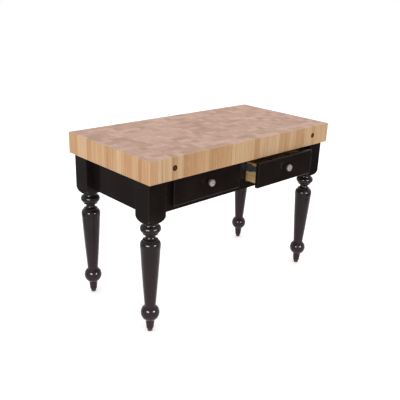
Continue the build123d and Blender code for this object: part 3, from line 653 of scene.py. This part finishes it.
def cut_mortise(leg, centre, name, axis, side):
    """Cut the pocket for one tenon, from its end out through the face of the post."""
    low, high = tenon(name, axis, side)
    low -= Vector((MORTISE_GAP, MORTISE_GAP, MORTISE_GAP))
    high += Vector((MORTISE_GAP, MORTISE_GAP, MORTISE_GAP))
    outside = centre[axis] - side * (POST_WIDTH / 2 + CUTTER_OVERHANG)
    if side > 0:
        low[axis] = outside
    else:
        high[axis] = outside
    bpy.ops.object.select_all(action="DESELECT")
    bpy.ops.mesh.primitive_cube_add(size=1, location=(low + high) / 2, scale=high - low)
    cutter = bpy.context.object
    bpy.ops.object.transform_apply(location=True, rotation=False, scale=True)
    apply_modifier(leg, "BOOLEAN", operation="DIFFERENCE", object=cutter, solver="EXACT")
    bpy.data.objects.remove(cutter)


for side, sx in (("left", -1), ("right", 1)):
    for end, sy in (("front", -1), ("back", 1)):
        copy = bpy.data.objects.new("leg_copy", leg.data.copy())
        bpy.context.collection.objects.link(copy)
        centre = Vector((sx * LEG_X, sy * LEG_Y, 0))
        pick(copy)
        bpy.ops.object.mode_set(mode="EDIT")
        bpy.ops.mesh.select_all(action="SELECT")
        bpy.ops.transform.translate(value=centre - leg_foot)
        bpy.ops.object.mode_set(mode="OBJECT")
        cut_mortise(copy, centre, f"side_apron_{side}", 1, sy)
        face_frame = ["front_top_rail", "front_bottom_rail", f"front_stile_{side}"]
        for name in ["back_apron"] if sy > 0 else face_frame:
            cut_mortise(copy, centre, name, 0, sx)
        stand_for(copy, f"leg_{end}_{side}", enamel_z)
bpy.data.objects.remove(leg)

# %% [markdown]
# ## Knobs
# The knobs are turned from brass bar and plated. A knob is a small leg: a flat base, a short neck
# that flares into the head, a soft rim and a low dome. It is spun round the axis that points out of
# the drawer front. The blind hole for the machine screw is part of the outline. The faces behind the
# head get a dark, dull nickel: painted shade, for the shadow behind the head.

# %% Turn a knob and copy it
knob_low, knob_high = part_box("knob_left")
KNOB_RADIUS = (knob_high.x - knob_low.x) / 2 / MM
KNOB_OUT = (knob_high.y - knob_low.y) / MM
CROWN = 4.0  # rise of the dome
NECK = 6.0  # radius of the neck
BASE = 9.5  # radius of the base
NECK_DEPTH = 9.5 * MM  # from the drawer front to where the painted shade on the neck ends
THREAD_RADIUS, THREAD_DEPTH = 2.12, 12.0
rim = KNOB_OUT * 0.58
cap, cap_low = KNOB_RADIUS * 0.70, KNOB_OUT - CROWN
dome_radius = (cap ** 2 + CROWN ** 2) / (2 * CROWN)
half_cap = cap / 2
half_rise = KNOB_OUT - dome_radius + math.sqrt(dome_radius ** 2 - half_cap ** 2)
knob_outline = [
    ("line", (0, THREAD_DEPTH), (THREAD_RADIUS, THREAD_DEPTH), (THREAD_RADIUS, 0)),
    ("line", (BASE - 0.4, 0), (BASE, 0.4), (BASE, 1.6), (BASE - 1, 2.4)),
    ("arc", (NECK, 5.5), (NECK + 1, 8.5)),
    ("arc", (KNOB_RADIUS * 0.82, 11.4), (KNOB_RADIUS, rim)),
    ("arc", (KNOB_RADIUS * 0.93, (rim + cap_low) / 2 + 0.9), (cap, cap_low)),
    ("arc", (half_cap, half_rise), (0, KNOB_OUT)),
]
for side in ("left", "right"):
    low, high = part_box(f"knob_{side}")
    base = Vector(((low.x + high.x) / 2, high.y, (low.z + high.z) / 2))
    knob = turned("knob", knob_outline, base, Vector((0, -1, 0)), 64)
    stand_for(knob, f"knob_{side}", nickel, crease=50)
    knob.data.materials.append(neck_painted_shade_nickel)
    # Painted shade: the faces near the drawer front get the dark nickel.
    for face in knob.data.polygons:
        if base.y - face.center.y < NECK_DEPTH:
            face.material_index = 1
print("knobs stand out", round(KNOB_OUT, 1), "mm, radius", round(KNOB_RADIUS, 1), "mm")

# %% [markdown]
# ## Eased boards
# Aprons, rails and box boards come square from the saw, and the maker rounds their arrises with
# sandpaper, because paint doesn't hold on a sharp edge. Only the long edges that a hand can reach
# are rounded, and the joints stay crisp. Each board is a copy of its CAD node, whose loose triangles
# are first merged into whole faces, so that a bevel can find its edges.

# %% Round the long edges round one face of a board
LONG_EDGE = 60 * MM
STEEP = math.radians(60)  # an arris turns by more than this
APRON_EASE = 1.2 * MM
RAIL_EASE = 0.8 * MM


def eased(name, axis, side, radius, material):
    """A copy of a CAD node whose long outer edges on one face are rounded."""
    face_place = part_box(name)[side > 0][axis]
    piece = bpy.data.objects.new(name, nodes[name].data.copy())
    bpy.context.collection.objects.link(piece)
    pick(piece)
    bpy.ops.mesh.customdata_custom_splitnormals_clear()
    bpy.ops.object.mode_set(mode="EDIT")
    bpy.ops.mesh.select_mode(type="VERT")
    bpy.ops.mesh.select_all(action="SELECT")
    bpy.ops.mesh.remove_doubles(threshold=WELD)
    bpy.ops.mesh.dissolve_limited(angle_limit=math.radians(0.5))
    bpy.ops.mesh.select_mode(type="EDGE")
    bpy.ops.mesh.select_all(action="DESELECT")
    mesh = bmesh.from_edit_mesh(piece.data)
    count = 0
    for edge in mesh.edges:
        on_face = all(abs(v.co[axis] - face_place) < IN_PLANE for v in edge.verts)
        if on_face and edge.is_manifold and edge.is_convex and edge.calc_length() > LONG_EDGE:
            if edge.calc_face_angle() > STEEP:
                edge.select_set(True)
                count += 1
    bmesh.update_edit_mesh(piece.data)
    bpy.ops.mesh.bevel(offset=radius, segments=3)
    bpy.ops.object.mode_set(mode="OBJECT")
    stand_for(piece, name, material)
    print(name, "eased edges:", count)


for side in ("left", "right"):
    eased(f"side_apron_{side}", 2, -1, APRON_EASE, enamel_y)
eased("back_apron", 2, -1, APRON_EASE, enamel_x)
for name in ("front_top_rail", "front_bottom_rail"):
    eased(name, 1, -1, RAIL_EASE, enamel_x)
for name in ("centre_stile", "front_stile_left", "front_stile_right"):
    eased(name, 1, -1, RAIL_EASE, enamel_z)

# %% [markdown]
# The drawer boxes get a rounder upper rim, which is what a hand meets when it reaches in.

# %% Round the rims of the drawer boxes
RIM = 2 * MM
for side in ("left", "right"):
    for name in (f"drawer_side_outer_{side}", f"drawer_side_inner_{side}"):
        eased(name, 2, 1, RIM, lacquered_y)
    for name in (f"drawer_box_front_{side}", f"drawer_back_{side}"):
        eased(name, 2, 1, RIM, lacquered_x)

# %% [markdown]
# ## Finishes on the CAD nodes
# The CAD nodes whose shape is already right keep their mesh and only get their finish. The nodes
# that a shaped piece stands for get the same finish as it, so that the plain model matches.

# %% Give each CAD node its finish
def paint(material, *names):
    """Put one material on each of the named nodes."""
    for name in names:
        data = nodes[name].data
        data.materials.clear()
        data.materials.append(material)


paint(end_grain_maple, "butcher_block")
paint(walnut, "walnut_plugs")
paint(enamel_z, "leg_front_left", "leg_front_right", "leg_back_left", "leg_back_right", "centre_stile",
      "front_stile_left", "front_stile_right")
paint(enamel_y, "side_apron_left", "side_apron_right")
paint(enamel_x, "back_apron", "front_top_rail", "front_bottom_rail", "drawer_front_left",
      "drawer_front_right")
paint(glide_plastic, "foot_glides")
paint(zinc, "tie_rods", "tie_rod_nuts", "tie_rod_washers", "cleat_screws", "top_lag_screws",
      "top_lag_washers", "slide_cabinet_members", "slide_cabinet_screws")
paint(planed_x, "top_cleat_back")
for side in ("left", "right"):
    paint(planed_y, f"top_cleat_{side}", f"slide_board_outer_{side}", f"slide_board_inner_{side}")
    paint(lacquered_x, f"drawer_box_front_{side}", f"drawer_back_{side}")
    paint(lacquered_y, f"drawer_side_outer_{side}", f"drawer_side_inner_{side}")
    paint(plywood, f"drawer_bottom_{side}")
    paint(nickel, f"knob_{side}")
    paint(zinc, f"knob_screw_{side}", f"drawer_front_screws_{side}", f"slide_drawer_screws_{side}",
          f"slide_middle_members_{side}", f"slide_drawer_members_{side}", f"slide_outer_cages_{side}",
          f"slide_inner_cages_{side}")
    paint(bumper_plastic, f"drawer_bumpers_{side}")
print("painted", sum(bool(o.data.materials) for o in nodes.values()), "of", len(nodes), "nodes")

# %% [markdown]
# ## Aim the softboxes
# The softboxes are there for the paint. In a studio, cards on stands would shade the wood and the
# metal from them. Here light linking does it: the lights reach only the objects of one collection.

# %% Let the softboxes light the enamel only
painted_base = bpy.data.collections.new("painted_base")
for o in bpy.data.objects:
    if o.type == "MESH" and any(m in (enamel_x, enamel_y, enamel_z) for m in o.data.materials):
        painted_base.objects.link(o)
for light in softboxes:
    light.light_linking.receiver_collection = painted_base
